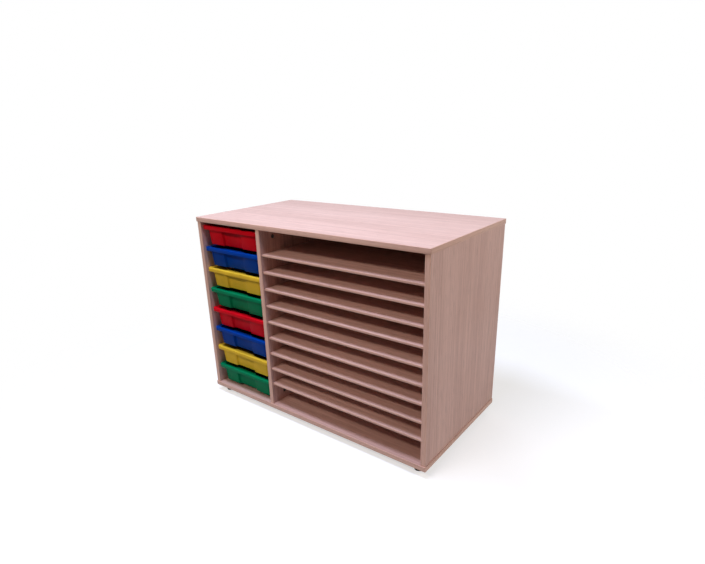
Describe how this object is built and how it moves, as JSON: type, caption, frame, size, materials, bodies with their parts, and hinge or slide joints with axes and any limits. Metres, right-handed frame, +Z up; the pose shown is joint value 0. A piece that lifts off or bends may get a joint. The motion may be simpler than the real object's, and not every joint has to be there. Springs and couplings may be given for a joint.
{
  "type": "classroom tray storage unit",
  "caption": "Low free-standing board cabinet with a bay of sliding coloured plastic trays and a bay of closely spaced paper shelves, on small feet.",
  "frame": {"origin": "on the floor, below the middle of the unit", "axes": "+X to the right of someone facing the unit, +Y from its front to its back, +Z up"},
  "size_m": [1.05, 0.54, 0.7643],
  "materials": {
    "board": "satin melamine, pale pinkish beech grain",
    "back_board": "hardboard with a pale pinkish beech print on its front, bare brown fibre behind",
    "tray_red": "moulded, semi-gloss",
    "tray_blue": "moulded, semi-gloss",
    "tray_yellow": "moulded, semi-gloss",
    "tray_green": "moulded, semi-gloss",
    "runner_plastic": "moulded, fine texture",
    "foot_plastic": "moulded, fine texture",
    "screw_steel": "zinc plated",
    "cam_zinc": "die-cast zinc"
  },
  "bodies": {
    "carcass": {"back_panel": "back_board", "base_panel": "board", "cam_fitting_divider_base_back": "cam_zinc", "cam_fitting_divider_base_front": "cam_zinc", "cam_fitting_divider_top_back": "cam_zinc", "cam_fitting_divider_top_front": "cam_zinc", "cam_fitting_left_base_back": "cam_zinc", "cam_fitting_left_base_front": "cam_zinc", "cam_fitting_left_top_back": "cam_zinc", "cam_fitting_left_top_front": "cam_zinc", "cam_fitting_right_base_back": "cam_zinc", "cam_fitting_right_base_front": "cam_zinc", "cam_fitting_right_top_back": "cam_zinc", "cam_fitting_right_top_front": "cam_zinc", "divider_panel": "board", "foot_back_left": "foot_plastic", "foot_back_right": "foot_plastic", "foot_front_left": "foot_plastic", "foot_front_right": "foot_plastic", "foot_screw_back_left": "screw_steel", "foot_screw_back_right": "screw_steel", "foot_screw_front_left": "screw_steel", "foot_screw_front_right": "screw_steel", "left_side_panel": "board", "right_side_panel": "board", "runner_left_1": "runner_plastic", "runner_left_2": "runner_plastic", "runner_left_3": "runner_plastic", "runner_left_4": "runner_plastic", "runner_left_5": "runner_plastic", "runner_left_6": "runner_plastic", "runner_left_7": "runner_plastic", "runner_left_8": "runner_plastic", "runner_right_1": "runner_plastic", "runner_right_2": "runner_plastic", "runner_right_3": "runner_plastic", "runner_right_4": "runner_plastic", "runner_right_5": "runner_plastic", "runner_right_6": "runner_plastic", "runner_right_7": "runner_plastic", "runner_right_8": "runner_plastic", "shelf_1": "board", "shelf_2": "board", "shelf_3": "board", "shelf_4": "board", "shelf_5": "board", "shelf_6": "board", "shelf_7": "board", "shelf_8": "board", "shelf_9": "board", "top_panel": "board"},
    "tray_1": {"tray_1_red": "tray_red"},
    "tray_2": {"tray_2_blue": "tray_blue"},
    "tray_3": {"tray_3_yellow": "tray_yellow"},
    "tray_4": {"tray_4_green": "tray_green"},
    "tray_5": {"tray_5_red": "tray_red"},
    "tray_6": {"tray_6_blue": "tray_blue"},
    "tray_7": {"tray_7_yellow": "tray_yellow"},
    "tray_8": {"tray_8_green": "tray_green"}
  },
  "joints": [
    {"name": "tray_1_slide", "type": "slide", "parent": "carcass", "child": "tray_1", "axis": [0, -1, 0], "range_m": [0, 0.3]},
    {"name": "tray_2_slide", "type": "slide", "parent": "carcass", "child": "tray_2", "axis": [0, -1, 0], "range_m": [0, 0.3]},
    {"name": "tray_3_slide", "type": "slide", "parent": "carcass", "child": "tray_3", "axis": [0, -1, 0], "range_m": [0, 0.3]},
    {"name": "tray_4_slide", "type": "slide", "parent": "carcass", "child": "tray_4", "axis": [0, -1, 0], "range_m": [0, 0.3]},
    {"name": "tray_5_slide", "type": "slide", "parent": "carcass", "child": "tray_5", "axis": [0, -1, 0], "range_m": [0, 0.3]},
    {"name": "tray_6_slide", "type": "slide", "parent": "carcass", "child": "tray_6", "axis": [0, -1, 0], "range_m": [0, 0.3]},
    {"name": "tray_7_slide", "type": "slide", "parent": "carcass", "child": "tray_7", "axis": [0, -1, 0], "range_m": [0, 0.3]},
    {"name": "tray_8_slide", "type": "slide", "parent": "carcass", "child": "tray_8", "axis": [0, -1, 0], "range_m": [0, 0.3]}
  ]
}
